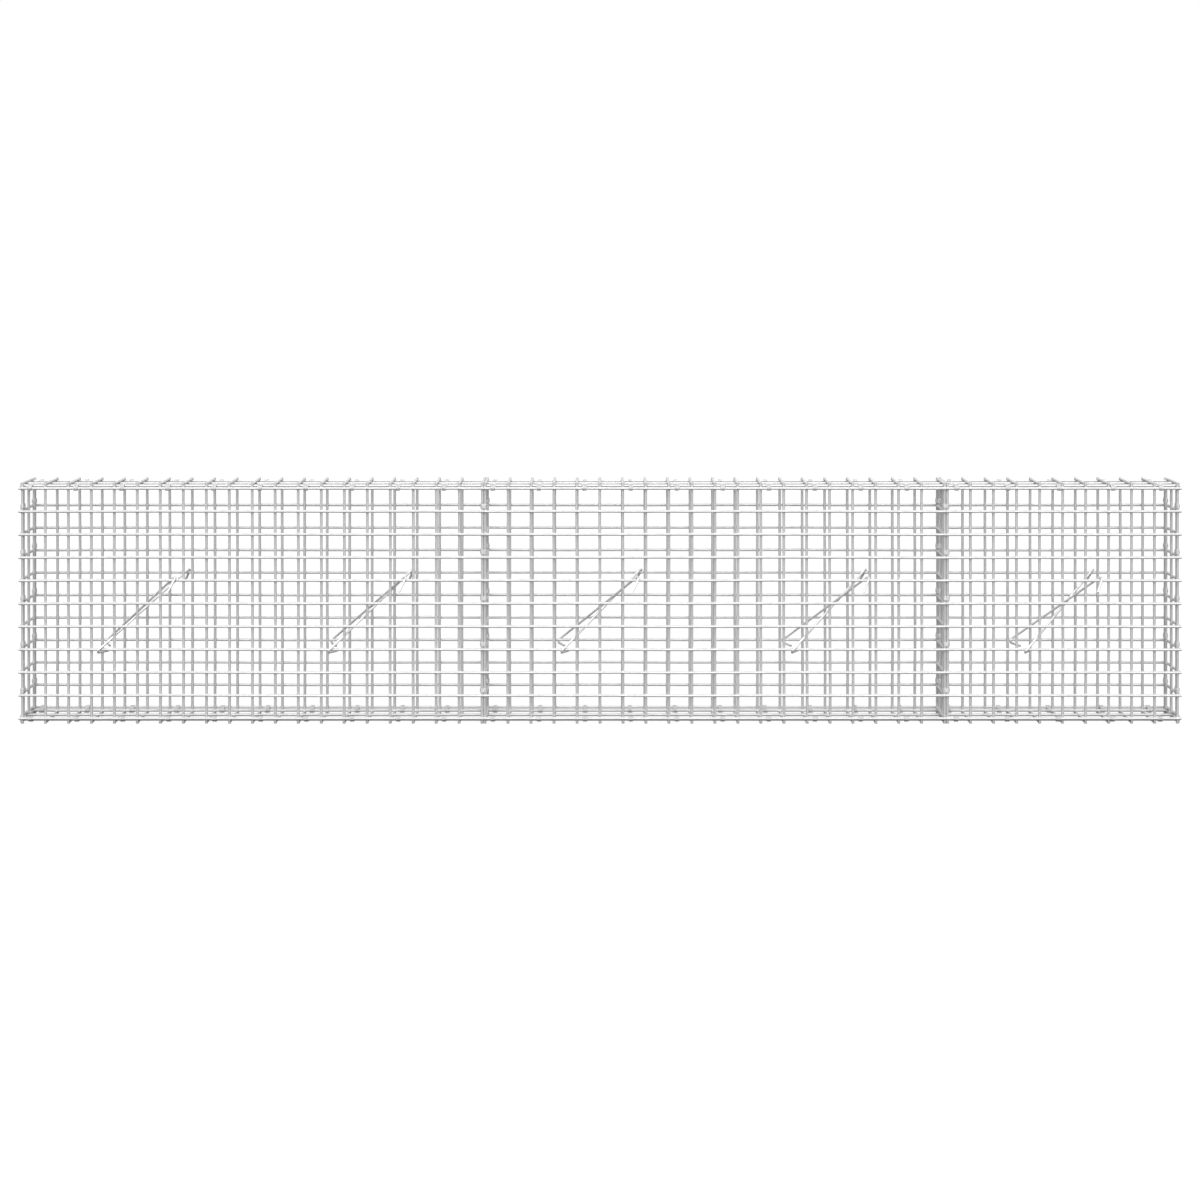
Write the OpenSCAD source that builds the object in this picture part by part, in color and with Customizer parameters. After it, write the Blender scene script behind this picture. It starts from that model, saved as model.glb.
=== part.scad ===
/* [Wall] */
// Cells along each of the two wide bays
wide_cells = 20; // [4:1:24]
// Cells along the narrow end bay
narrow_cells = 10; // [4:1:20]
// Cells up the wall
height_cells = 10; // [6:1:20]
// Spacing of the wires of the mesh
pitch = 50; // [40:1:80]
// Distance between the outer wires of the front and back panels
depth = 100; // [80:1:300]

/* [Wire] */
// Diameter of the mesh wire
wire_d = 6; // [4.5:0.1:7.5]
// Depth that two crossing wires sink into each other at a weld
weld_sink = 1.5; // [0.5:0.1:2]
// Length of the wires past the last crossing at the ends of the wall
end_overhang = 7; // [5.5:0.5:15]
// Distance that the last cross wire of the lid and base stands out past each end of the wall
end_step = 3.5; // [0:0.1:5]

/* [Seams] */
// Gap between the ends of two level wires that meet at a seam between bays
seam_end_gap = 0.5; // [0.3:0.1:1]
// Height of the lid's long wires over the top level wires, and drop of the base's
lid_rise = 4.5; // [3:0.1:8]
// Clearance between pieces that lie beside each other
fit_clear = 0.3; // [0.1:0.05:0.5]

/* [Clips] */
// Diameter of the clip wire
clip_wire_d = 1.6; // [1:0.1:3]
// Length of a clip along the wires that it holds
clip_l = 11; // [3:0.5:14]
// Clearance between a clip and the wires inside it
clip_clear = 0.2; // [0.15:0.05:0.6]
// Spacing of the clips along a wide bay and up the corners
clip_pitch = 100; // [60:1:200]
// Distance from a wide bay's edge to its first clip
clip_start = 17; // [12:1:38]
// Spacing of the clips along the narrow bay
narrow_clip_pitch = 111; // [60:1:200]
// Distance from the narrow bay's edge to its first clip
narrow_clip_start = 19; // [12:1:38]
// Height of the first clip above the bottom wire on an upright edge
upright_clip_start = 61; // [15:1:90]

/* [Ties] */
// Diameter of the tie wire
tie_d = 5; // [3:0.1:6]
// Cells along the wall from a tie's lower hook to its upper hook
tie_cells = 3; // [1:2:5]
// Row of the lower hooks, counted up from the bottom wire
tie_low_row = 3; // [1:1:5]
// Rows between the lower and the upper hooks
tie_rise_rows = 3; // [1:1:5]
// Clearance between a hook and the wire in it
hook_clear = 0.25; // [0.2:0.05:2]
// Length of the straight leg of a hook
hook_leg = 29; // [15:1:34]
// Angle between a hook's leg and the straight of its tie
hook_angle = 50; // [35:1:70]
// Turn of a tie about its own length, which brings its hooks round to face the mesh
tie_roll = 43; // [0:1:60]

/* [Hidden] */

// Sides of a mesh wire, and the turn that puts a flat at the bottom
wire_sides = 8;
flat_turn = 180 / wire_sides;
// Segments of a round corner of a clip
round_fn = 32;
// Sides of a tie and steps in a hook's bend
tie_sides = 8;
bend_steps = 6;

wire_r = wire_d / 2;
// Distance from a mesh wire's middle line to the corners of its section
wire_corner = wire_r / cos(flat_turn);
// Distance between the centres of two wires that are welded across each other
weld_step = wire_d - weld_sink;
// Distance between the edge wires of two neighbouring bays, which lie side by side
bay_gap = wire_d + fit_clear;
// Distance from an upright edge wire to the wire of a cross panel that is clipped to it
seam_step = wire_d + 2 * fit_clear;
// Length of the level wires past the last crossing at a seam
seam_overhang = (bay_gap - seam_end_gap) / 2;

// Cells, length and left edge of each bay
bay_cells = [wide_cells, wide_cells, narrow_cells];
bay_l = [for (cells = bay_cells) cells * pitch];
wall_l = bay_l[0] + bay_l[1] + bay_l[2] + 2 * bay_gap;
bay_x = [
  -wall_l / 2,
  -wall_l / 2 + bay_l[0] + bay_gap,
  -wall_l / 2 + bay_l[0] + bay_l[1] + 2 * bay_gap
];
// Places of the end panels and of the diaphragms in the seams
seam_x = [bay_x[1] - bay_gap / 2, bay_x[2] - bay_gap / 2];
end_x = [bay_x[0], bay_x[2] + bay_l[2]];

// Heights, from the floor up
base_cross_z = wire_r;
base_long_z = base_cross_z + weld_step;
bottom_z = base_long_z + lid_rise;
top_z = bottom_z + height_cells * pitch;
lid_long_z = top_z + lid_rise;
lid_cross_z = lid_long_z + weld_step;
// How far the first and last level wires of a cross panel give way to the long wires of base and lid
cross_give = max(0, wire_d + fit_clear - lid_rise);

// Depths, from the middle of the wall to the front or back
outer_y = depth / 2;
upright_y = outer_y - weld_step;
inner_y = upright_y - seam_step;
// Outer long wires of the lid and base, which run just inside the uprights
cover_y = upright_y - wire_d - fit_clear;
// Half length of the wires that run across the wall, from upright to upright
cross_reach = upright_y - wire_r - fit_clear;

// A mesh wire along one axis, its middle line on that axis, from a to b
module wire_x(a, b) {
  translate([a, 0, 0]) rotate([0, 90, 0]) wire_z(0, b - a);
}

module wire_y(a, b) {
  translate([0, a, 0]) rotate([-90, 0, 0]) wire_z(0, b - a);
}

module wire_z(a, b) {
  translate([0, 0, a])
    rotate([0, 0, flat_turn])
      cylinder(h = b - a, r = wire_corner, $fn = wire_sides);
}

// Length of the level wires past the edge wire on each side of a bay
function left_overhang(bay) = bay == 0 ? end_overhang : seam_overhang;
function right_overhang(bay) = bay == 2 ? end_overhang : seam_overhang;

// Upright wires end level with the lid and base cross wires that they stand beside
upright_low = base_cross_z - wire_r;
upright_high = lid_cross_z + wire_r;

// Front (side = -1) or back (side = 1) panel of a bay
module face_panel(bay, side) {
  color([0.70, 0.72, 0.72]) {
    for (row = [0 : height_cells])
      translate([0, side * outer_y, bottom_z + row * pitch])
        wire_x(bay_x[bay] - left_overhang(bay), bay_x[bay] + bay_l[bay] + right_overhang(bay));
    for (column = [0 : bay_cells[bay]])
      translate([bay_x[bay] + column * pitch, side * upright_y, 0])
        wire_z(upright_low, upright_high);
  }
}

// Step out of a bay's first and last cross wire: only those at the ends of the wall have one
function cross_shift(bay, column) =
  bay == 0 && column == 0 ? -end_step :
  bay == 2 && column == bay_cells[bay] ? end_step : 0;

// Lid or base panel of a bay: three long wires and the cross wires over or under them
module cover_panel(bay, long_z, cross_z) {
  color([0.74, 0.76, 0.76]) {
    for (y = [-cover_y, 0, cover_y])
      translate([0, y, long_z])
        wire_x(bay_x[bay] - left_overhang(bay), bay_x[bay] + bay_l[bay] + right_overhang(bay));
    for (column = [0 : bay_cells[bay]])
      translate([bay_x[bay] + column * pitch + cross_shift(bay, column), 0, cross_z])
        wire_y(-cross_reach, cross_reach);
  }
}

// Height of a level wire of a cross panel
function cross_row_z(row) =
  min(max(bottom_z + row * pitch, bottom_z + cross_give), top_z - cross_give);

// Panel across the wall, with its level wires on one side of its uprights
module cross_panel(x, level_side) {
  color([0.66, 0.69, 0.69]) {
    for (row = [0 : height_cells])
      translate([x + level_side * weld_step, 0, cross_row_z(row)])
        wire_y(-cross_reach, cross_reach);
    for (y = [-inner_y, 0, inner_y])
      translate([x, y, 0])
        wire_z(cross_row_z(0) - wire_r, cross_row_z(height_cells) + wire_r);
  }
}

// Inside radius of a clip's round corners, clear of the corners of the wire's section
clip_r = wire_corner + clip_clear;
// Closed clip round wires whose middles lie the given distances apart, its length along Z
module clip(gap_x, gap_y) {
  color([0.62, 0.65, 0.65])
    linear_extrude(height = clip_l, center = true)
      difference() {
        rounded(gap_x / 2, gap_y / 2, clip_r + clip_wire_d);
        rounded(gap_x / 2, gap_y / 2, clip_r);
      }
}

// Rectangle with round corners, given by the half distances between the corners' centres
module rounded(half_x, half_y, radius) {
  union() {
    if (half_x > 0) square([2 * half_x, 2 * (half_y + radius)], center = true);
    if (half_y > 0) square([2 * (half_x + radius), 2 * half_y], center = true);
    for (x = half_x > 0 ? [-half_x, half_x] : [0])
      for (y = half_y > 0 ? [-half_y, half_y] : [0])
        translate([x, y]) circle(r = radius, $fn = round_fn);
  }
}

// Least distance from the middle of a clip to a wire that crosses the ones it holds
clip_keep = wire_r + clip_l / 2 + fit_clear;
// A clip's place, slid along if it would sit on a crossing wire
function clear_place(place) =
  let(crossing = round(place / pitch) * pitch, off = place - crossing)
    abs(off) >= clip_keep ? place : crossing + (off < 0 ? -clip_keep : clip_keep);

// Clips along a long edge of one bay, round the panel wire and the cover wire
function clip_places(bay) =
  let(start = bay < 2 ? clip_start : narrow_clip_start)
    let(step = bay < 2 ? clip_pitch : narrow_clip_pitch)
      [for (x = [start : step : bay_l[bay] - clip_keep]) clear_place(x)];

// Distance and slope between the panel's edge wire and the cover's long wire
edge_drop = outer_y - cover_y;
edge_span = norm([edge_drop, lid_rise]);
edge_slope = atan2(lid_rise, edge_drop);

// Clips of the lid (level = 1) or the base (level = -1) along the front or back edge
module edge_clips(bay, side, level) {
  edge_z = level > 0 ? top_z : bottom_z;
  for (x = clip_places(bay))
    translate([bay_x[bay] + x, side * (outer_y + cover_y) / 2, edge_z + level * lid_rise / 2])
      rotate([-side * level * edge_slope, 0, 0])
        rotate([0, 90, 0])
          clip(0, edge_span);
}

// Heights of the clips on the upright edges
upright_clips = [
  for (z = [upright_clip_start : clip_pitch : height_cells * pitch - clip_keep])
    bottom_z + clear_place(z)
];
// Middle of an upright edge's two layers of wire
edge_mid_y = (upright_y + inner_y) / 2;

module corner_clips(x, side) {
  for (z = upright_clips)
    translate([x, side * edge_mid_y, z])
      clip(0, seam_step);
}

module seam_clips(x, side) {
  for (z = upright_clips)
    translate([x, side * edge_mid_y, z])
      clip(bay_gap, seam_step);
}

// Height of the lower hooks' row and rise to the upper hooks' row
tie_low_z = bottom_z + tie_low_row * pitch;
tie_rise = tie_rise_rows * pitch;
// Distance from a tie's middle line to the corners of its section
tie_corner = tie_d / 2 / cos(180 / tie_sides);
// Distances between the middles of a tie and of a wire that it hooks, or that it passes
hook_step = wire_corner + tie_corner + hook_clear;
pass_step = wire_corner + tie_corner + fit_clear;

// A tie's turn and slope, seen from above and from the side, for its run along the wall
function turn_for(run) = atan2(depth, run);
function slope_for(run) = atan2(tie_rise, norm([run, depth]));
// Distance along the wall between the two ties of a pair, so that they clear each other
function shift_for(run) = (2 * tie_corner + fit_clear) * norm([run, tie_rise]) / tie_rise;
// Share of a hook's radius by which its tie's straight stands out of the mesh
function out_for(run) =
  sin(slope_for(run)) * cos(tie_roll) * sin(turn_for(run)) + sin(tie_roll) * cos(turn_for(run));
// Distance from a hook to the upright that the tie's straight passes next, clear of it, on its way in
function gap_for(run) =
  ((hook_step * out_for(run) + weld_step) * run + pass_step * norm([run, depth])) / depth;
// Run of a tie between two cells, found by trying a run and fitting the next one to it
function run_for(run, tries) =
  tries == 0 ? run :
  run_for((tie_cells - 1) * pitch + 2 * gap_for(run) + shift_for(run), tries - 1);

tie_run = run_for(tie_cells * pitch, 10);
tie_shift = shift_for(tie_run);
tie_turn = turn_for(tie_run);
tie_slope = slope_for(tie_run);
tie_l = norm([tie_run, depth, tie_rise]);

// Share of a level wire's direction that lies along the tie, across it and through its plane
wire_along = cos(tie_slope) * cos(tie_turn);
wire_across = sin(tie_slope) * cos(tie_roll) * cos(tie_turn) - sin(tie_roll) * sin(tie_turn);
wire_through = sqrt(1 - pow(wire_along, 2) - pow(wire_across, 2));
// Radius of a hook's bend, to the middle of the tie, and its centre's distance past the slanting wire
hook_bend_r = hook_step * norm([1, wire_across / wire_through]);
hook_past = hook_step * norm([1, wire_along / wire_through]) - hook_bend_r;

function along(angle) = [cos(angle), sin(angle)];

// Points of a hook's bend about a centre, from one angle through another
function bend(centre, from, through) =
  [for (i = [0 : bend_steps]) centre + hook_bend_r * along(from + through * i / bend_steps)];

// Middle line of a tie: X from the lower wire to the upper one, the straight on the +Y side
hook_bend = 180 - hook_angle;
low_hook = bend([-hook_past, 0], 90 + hook_bend, -hook_bend);
high_hook = bend([tie_l + hook_past, 0], 90, -hook_bend);
tie_line = concat(
  [low_hook[0] + hook_leg * along(-hook_angle)],
  low_hook,
  high_hook,
  [high_hook[bend_steps] + hook_leg * along(hook_angle - 180)]
);
line_last = len(tie_line) - 1;

function unit(v) = v / norm(v);
function side_of(v) = [-v[1], v[0]];
// Direction of the line into and out of one of its points
function way_in(i) = unit(tie_line[max(i, 1)] - tie_line[max(i, 1) - 1]);
function way_out(i) = i == line_last ? way_in(i) : unit(tie_line[i + 1] - tie_line[i]);
// Sideways step across the mitre at one of its points, for one unit of radius
function mitre(i) =
  let(side = unit(side_of(way_in(i) + way_out(i))))
    side / (side * side_of(way_in(i)));

// One tie, swept flat in the XY plane
module flat_tie() {
  turns = [for (k = [0 : tie_sides - 1]) (k + 0.5) * 360 / tie_sides];
  points = [
    for (i = [0 : line_last], turn = turns)
      let(flat = tie_line[i] + tie_corner * cos(turn) * mitre(i))
        [flat[0], flat[1], tie_corner * sin(turn)]
  ];
  walls = [
    for (i = [0 : line_last - 1], k = [0 : tie_sides - 1])
      let(next = (k + 1) % tie_sides, ring = i * tie_sides)
        [ring + k, ring + next, ring + tie_sides + next, ring + tie_sides + k]
  ];
  start_cap = [for (k = [tie_sides - 1 : -1 : 0]) k];
  end_cap = [for (k = [0 : tie_sides - 1]) line_last * tie_sides + k];
  polyhedron(points = points, faces = concat([start_cap, end_cap], walls));
}

// A tie whose lower hook is at the front (side = -1) or at the back (side = 1)
module tie(side) {
  translate([-(tie_run + side * tie_shift) / 2, side * outer_y, tie_low_z])
    rotate([0, -tie_slope, -side * tie_turn])
      rotate([90 - side * tie_roll, 0, 0])
        flat_tie();
}

// Column of a bay that its tie pair is centred on, at a share of the bay's length
function tie_x(bay, share) = bay_x[bay] + round(bay_cells[bay] * share) * pitch;

// Two ties that cross between the front and back panels
module tie_pair(x) {
  color([0.78, 0.79, 0.79])
    translate([x, 0, 0]) {
      tie(-1);
      tie(1);
    }
}

face_panel(0, -1);  // front_panel_1
face_panel(1, -1);  // front_panel_2
face_panel(2, -1);  // front_panel_3
face_panel(0, 1);  // back_panel_1
face_panel(1, 1);  // back_panel_2
face_panel(2, 1);  // back_panel_3
cover_panel(0, lid_long_z, lid_cross_z);  // lid_panel_1
cover_panel(1, lid_long_z, lid_cross_z);  // lid_panel_2
cover_panel(2, lid_long_z, lid_cross_z);  // lid_panel_3
cover_panel(0, base_long_z, base_cross_z);  // base_panel_1
cover_panel(1, base_long_z, base_cross_z);  // base_panel_2
cover_panel(2, base_long_z, base_cross_z);  // base_panel_3
cross_panel(end_x[0], -1);  // end_panel_left
cross_panel(end_x[1], 1);  // end_panel_right
cross_panel(seam_x[0], 1);  // diaphragm_1
cross_panel(seam_x[1], -1);  // diaphragm_2
edge_clips(0, -1, 1);  // top_front_clips_1
edge_clips(1, -1, 1);  // top_front_clips_2
edge_clips(2, -1, 1);  // top_front_clips_3
edge_clips(0, 1, 1);  // top_back_clips_1
edge_clips(1, 1, 1);  // top_back_clips_2
edge_clips(2, 1, 1);  // top_back_clips_3
edge_clips(0, -1, -1);  // bottom_front_clips_1
edge_clips(1, -1, -1);  // bottom_front_clips_2
edge_clips(2, -1, -1);  // bottom_front_clips_3
edge_clips(0, 1, -1);  // bottom_back_clips_1
edge_clips(1, 1, -1);  // bottom_back_clips_2
edge_clips(2, 1, -1);  // bottom_back_clips_3
corner_clips(end_x[0], -1);  // corner_clips_left_front
corner_clips(end_x[0], 1);  // corner_clips_left_back
corner_clips(end_x[1], -1);  // corner_clips_right_front
corner_clips(end_x[1], 1);  // corner_clips_right_back
seam_clips(seam_x[0], -1);  // seam_clips_1_front
seam_clips(seam_x[0], 1);  // seam_clips_1_back
seam_clips(seam_x[1], -1);  // seam_clips_2_front
seam_clips(seam_x[1], 1);  // seam_clips_2_back
tie_pair(tie_x(0, 0.25));  // tie_pair_1
tie_pair(tie_x(0, 0.75));  // tie_pair_2
tie_pair(tie_x(1, 0.25));  // tie_pair_3
tie_pair(tie_x(1, 0.75));  // tie_pair_4
tie_pair(tie_x(2, 0.5));  // tie_pair_5
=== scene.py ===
"""Looks of a long welded-mesh gabion wall basket in three bays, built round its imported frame.

Every panel is a weld of round galvanised wires, every clip a close coil wound round the wires
that it holds, and the ties are hooked rods. One gentle sway moves them all together, so that
the basket looks handled and its clips still sit on their wires.
"""

import logging
import math
from dataclasses import dataclass, field
from enum import Enum

import bpy
from mathutils import Matrix, Vector


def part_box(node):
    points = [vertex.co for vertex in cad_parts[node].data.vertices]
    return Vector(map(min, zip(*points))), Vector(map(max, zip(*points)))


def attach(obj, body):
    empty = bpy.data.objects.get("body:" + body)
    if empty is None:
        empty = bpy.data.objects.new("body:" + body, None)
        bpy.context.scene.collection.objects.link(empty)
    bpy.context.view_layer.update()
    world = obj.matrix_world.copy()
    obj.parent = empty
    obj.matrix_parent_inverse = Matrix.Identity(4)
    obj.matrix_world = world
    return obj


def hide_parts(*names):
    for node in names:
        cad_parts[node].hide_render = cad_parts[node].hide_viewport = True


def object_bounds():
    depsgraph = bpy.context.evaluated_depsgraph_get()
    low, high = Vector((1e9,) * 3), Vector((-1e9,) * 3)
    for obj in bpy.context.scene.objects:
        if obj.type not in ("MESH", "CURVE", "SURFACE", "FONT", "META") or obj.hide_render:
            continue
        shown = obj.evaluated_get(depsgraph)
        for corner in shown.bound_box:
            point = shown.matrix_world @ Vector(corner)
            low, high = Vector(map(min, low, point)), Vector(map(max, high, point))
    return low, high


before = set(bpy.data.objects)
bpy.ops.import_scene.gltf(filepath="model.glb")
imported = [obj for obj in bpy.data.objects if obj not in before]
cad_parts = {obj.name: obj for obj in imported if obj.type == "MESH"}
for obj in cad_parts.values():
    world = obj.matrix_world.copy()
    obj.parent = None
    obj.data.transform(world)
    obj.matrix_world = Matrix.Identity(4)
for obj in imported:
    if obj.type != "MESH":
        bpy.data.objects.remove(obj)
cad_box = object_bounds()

log = logging.getLogger("gabion")

BODY = "root"
MM = 0.001

WALL_LOW = Vector(cad_box[0])
WALL_HIGH = Vector(cad_box[1])


class Direction(Enum):
    """A direction that the wires of the basket run in."""

    ALONG = (1.0, 0.0, 0.0)
    ACROSS = (0.0, 1.0, 0.0)
    UP = (0.0, 0.0, 1.0)

    @property
    def vector(self) -> Vector:
        """The direction as a vector of unit length."""
        return Vector(self.value)


class Face(Enum):
    """One of the two long faces of the wall, by the sign of its Y."""

    FRONT = -1
    BACK = 1


class Level(Enum):
    """The lid at the top or the base at the bottom, by the sign of its Z from the middle."""

    LID = 1
    BASE = -1


@dataclass(frozen=True)
class MeshSizes:
    """Sizes of the welded mesh, in metres.

    Attributes:
        wire: Diameter of the wire.
        pitch: Spacing of the wires.
        weld_step: Distance between the centres of two wires welded across each other.
        lid_rise: Height of the lid's long wires over the top level wires, and drop of the base's.
        seam_step: Distance from an upright edge wire to the wire clipped to it.
        end_overhang: Length of level wires past the last crossing at the wall's ends.
        seam_overhang: The same at a seam between bays.
        end_step: Distance that the last cross wire of lid and base stands out at the wall's ends.
        clear: Clearance between wires that lie beside each other.
    """

    wire: float = 6 * MM
    pitch: float = 50 * MM
    weld_step: float = 4.5 * MM
    lid_rise: float = 4.5 * MM
    seam_step: float = 6.6 * MM
    end_overhang: float = 7 * MM
    seam_overhang: float = 2.9 * MM
    end_step: float = 3.5 * MM
    clear: float = 0.3 * MM

    @property
    def radius(self) -> float:
        """Radius of the wire."""
        return self.wire / 2

    @property
    def foot(self) -> float:
        """Height of the bottom level wire over the floor."""
        return self.radius + self.weld_step + self.lid_rise

    @property
    def give(self) -> float:
        """How far a cross panel's first and last level wires give way to the base and lid."""
        return max(0.0, self.wire + self.clear - self.lid_rise)


@dataclass(frozen=True)
class CoilSizes:
    """Sizes of a coiled clip, in metres.

    Attributes:
        wire: Diameter of the clip's wire.
        length: Length of the coil along the wires that it holds.
        clear: Clearance between the coil and the wires inside it.
        pitch: Distance between the coil's turns.
    """

    wire: float = 1.6 * MM
    length: float = 11 * MM
    clear: float = 0.44 * MM
    pitch: float = 1.75 * MM

    @property
    def turns(self) -> float:
        """Turns that fit in the coil's length."""
        return (self.length - self.wire) / self.pitch


@dataclass(frozen=True)
class TieSizes:
    """Sizes of a hooked tie, in metres, and its places in the mesh.

    Attributes:
        wire: Diameter of the tie's wire.
        run: Distance along the wall between the two wires that the tie hooks onto.
        low_row: Row of the lower hooks, counted up from the bottom wire.
        rise_rows: Rows from the lower to the upper hooks.
        shift: Distance along the wall between the two ties of a pair.
        bend: Radius of a hook's bend, to the middle of the wire.
        past: Distance of the bend's centre past the wire that it hooks.
        leg: Length of the straight leg of a hook.
        angle: Angle between a leg and the straight of the tie, in degrees.
        roll: Turn of a tie about its own length, in degrees.
    """

    wire: float = 5 * MM
    run: float = 163.798 * MM
    low_row: int = 3
    rise_rows: int = 3
    shift: float = 8.458 * MM
    bend: float = 6.208 * MM
    past: float = 2.176 * MM
    leg: float = 29 * MM
    angle: float = 50.0
    roll: float = 43.0


@dataclass(frozen=True)
class Sway:
    """How far the wires wander from true, in metres.

    Attributes:
        side: Most that an upright wanders along the wall.
        sag: Most that a level wire wanders up or down.
        belly: Most that a long face bows in.
        wave: Length of one wander along the wall.
        edge: Distance from the ends of the wall, the floor and the top over which it dies out.
    """

    side: float = 0.7 * MM
    sag: float = 0.6 * MM
    belly: float = 1.2 * MM
    wave: float = 0.32
    edge: float = 0.06


MESH = MeshSizes()
COIL = CoilSizes()
TIE = TieSizes()
SWAY = Sway()


# Finishes


@dataclass(frozen=True)
class ZincFinish:
    """A procedural zinc coat on steel wire.

    Attributes:
        name: Name of the material.
        slot: The record's material slot; not used.
        pale: Colour of the bright zinc.
        dull: Colour of the weathered zinc.
        metal: Share of metal in the surface.
        smooth: Roughness of the brightest spots.
        rough: Roughness of the dullest spots.
        spangle: Size of a zinc crystal, in metres.
        bump: Height of the coat's grain, in metres.
        patch_scale: Patches of weathering to a metre.
        patch_share: Share of the patches in the tone.
        grain_scale: Grains to a metre.
        grain_share: Share of the grain in the tone.
        relief: Strength of the coat's relief.
    """

    name: str
    slot: str
    pale: tuple[float, float, float]
    dull: tuple[float, float, float]
    metal: float
    smooth: float
    rough: float
    spangle: float
    bump: float
    patch_scale: float = 14.0
    patch_share: float = 0.55
    grain_scale: float = 900.0
    grain_share: float = 0.25
    relief: float = 0.6

    def material(self) -> bpy.types.Material:
        """Makes the material, or returns it if it is made already.

        Returns:
            The finished material.
        """
        made = bpy.data.materials.get(self.name)
        if made:
            return made
        material = bpy.data.materials.new(self.name)
        material.use_nodes = True
        tree = material.node_tree
        nodes, links = tree.nodes, tree.links
        shader = nodes["Principled BSDF"]
        place = nodes.new("ShaderNodeTexCoord").outputs["Object"]

        crystals = nodes.new("ShaderNodeTexVoronoi")
        crystals.inputs["Scale"].default_value = 1 / self.spangle
        crystals.inputs["Randomness"].default_value = 1.0
        grey = nodes.new("ShaderNodeSeparateColor")
        patches = nodes.new("ShaderNodeTexNoise")
        patches.inputs["Scale"].default_value = self.patch_scale
        patches.inputs["Detail"].default_value = 4.0
        grain = nodes.new("ShaderNodeTexNoise")
        grain.inputs["Scale"].default_value = self.grain_scale
        grain.inputs["Detail"].default_value = 3.0
        for texture in (crystals, patches, grain):
            links.new(place, texture.inputs["Vector"])
        links.new(crystals.outputs["Color"], grey.inputs["Color"])

        tone = self._mix(tree, grey.outputs[0], patches.outputs["Fac"], self.patch_share)
        tone = self._mix(tree, tone, grain.outputs["Fac"], self.grain_share)
        colour = nodes.new("ShaderNodeMix")
        colour.data_type = "RGBA"
        colour.inputs["A"].default_value = (*self.dull, 1.0)
        colour.inputs["B"].default_value = (*self.pale, 1.0)
        links.new(tone, colour.inputs["Factor"])
        links.new(colour.outputs["Result"], shader.inputs["Base Color"])

        sheen = nodes.new("ShaderNodeMapRange")
        sheen.inputs["To Min"].default_value = self.rough
        sheen.inputs["To Max"].default_value = self.smooth
        links.new(tone, sheen.inputs["Value"])
        links.new(sheen.outputs["Result"], shader.inputs["Roughness"])

        relief = nodes.new("ShaderNodeBump")
        relief.inputs["Strength"].default_value = self.relief
        relief.inputs["Distance"].default_value = self.bump
        links.new(tone, relief.inputs["Height"])
        links.new(relief.outputs["Normal"], shader.inputs["Normal"])
        shader.inputs["Metallic"].default_value = self.metal
        return material

    @staticmethod
    def _mix(tree: bpy.types.NodeTree, first: bpy.types.NodeSocket,
             second: bpy.types.NodeSocket, share: float) -> bpy.types.NodeSocket:
        """Mixes two numbers.

        Args:
            tree: The material's node tree.
            first: The first number.
            second: The second number.
            share: Share of the second number.

        Returns:
            The socket that gives the mix.
        """
        node = tree.nodes.new("ShaderNodeMix")
        node.inputs["Factor"].default_value = share
        tree.links.new(first, node.inputs["A"])
        tree.links.new(second, node.inputs["B"])
        return node.outputs["Result"]


MESH_ZINC = ZincFinish("zinc_mesh_wire", "mesh_wire", pale=(0.73, 0.73, 0.73), dull=(0.60, 0.60, 0.60),
                       metal=0.3, smooth=0.36, rough=0.52, spangle=5 * MM, bump=0.15 * MM)
COIL_ZINC = ZincFinish("zinc_clip_wire", "clip_wire", pale=(0.80, 0.80, 0.80), dull=(0.68, 0.68, 0.68),
                       metal=0.35, smooth=0.30, rough=0.46, spangle=3 * MM, bump=0.1 * MM)
TIE_ZINC = ZincFinish("zinc_tie_wire", "tie_wire", pale=(0.86, 0.86, 0.86), dull=(0.74, 0.74, 0.74),
                      metal=0.55, smooth=0.22, rough=0.38, spangle=6 * MM, bump=0.1 * MM)


# Geometry node trees


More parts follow.
